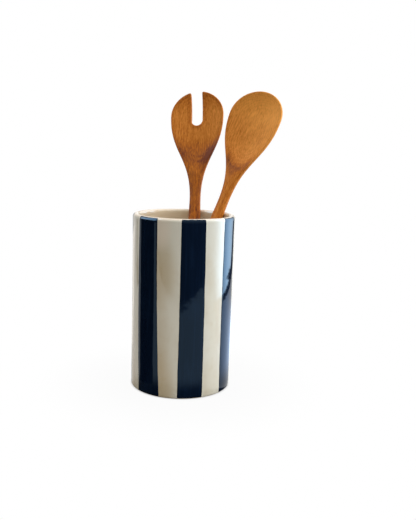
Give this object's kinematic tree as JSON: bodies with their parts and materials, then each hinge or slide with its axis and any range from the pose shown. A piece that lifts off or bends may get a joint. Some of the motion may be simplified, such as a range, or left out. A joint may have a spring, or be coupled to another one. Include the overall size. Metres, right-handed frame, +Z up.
{
  "type": "utensil crock",
  "caption": "Straight-sided glazed stoneware utensil crock with upright navy stripes, holding a slotted wooden salad fork and a wooden salad spoon that lift out.",
  "frame": {"origin": "middle of the crock's flat foot, on the crock's axis", "axes": "+Z up along the crock's axis, -Y the front with the stripes as pictured, +X to the right of the front"},
  "size_m": [0.1498, 0.1409, 0.3024],
  "materials": {
    "cream_glaze": "glossy, slightly uneven",
    "navy_glaze": "glossy, hand painted",
    "wood": "oiled, satin"
  },
  "bodies": {
    "crock": {"crock_body": "cream_glaze", "navy_stripe_1": "navy_glaze", "navy_stripe_2": "navy_glaze", "navy_stripe_3": "navy_glaze", "navy_stripe_4": "navy_glaze", "navy_stripe_5": "navy_glaze", "navy_stripe_6": "navy_glaze", "navy_stripe_7": "navy_glaze"},
    "fork": {"salad_fork": "wood"},
    "spoon": {"salad_spoon": "wood"}
  },
  "joints": [
    {"name": "fork_lift", "type": "slide", "parent": "crock", "child": "fork", "axis": [0.0165, 0.3715, 0.9283], "range_m": [0, 0.2]},
    {"name": "spoon_lift", "type": "slide", "parent": "crock", "child": "spoon", "axis": [0.3321, 0.234, 0.9138], "range_m": [0, 0.2]}
  ]
}
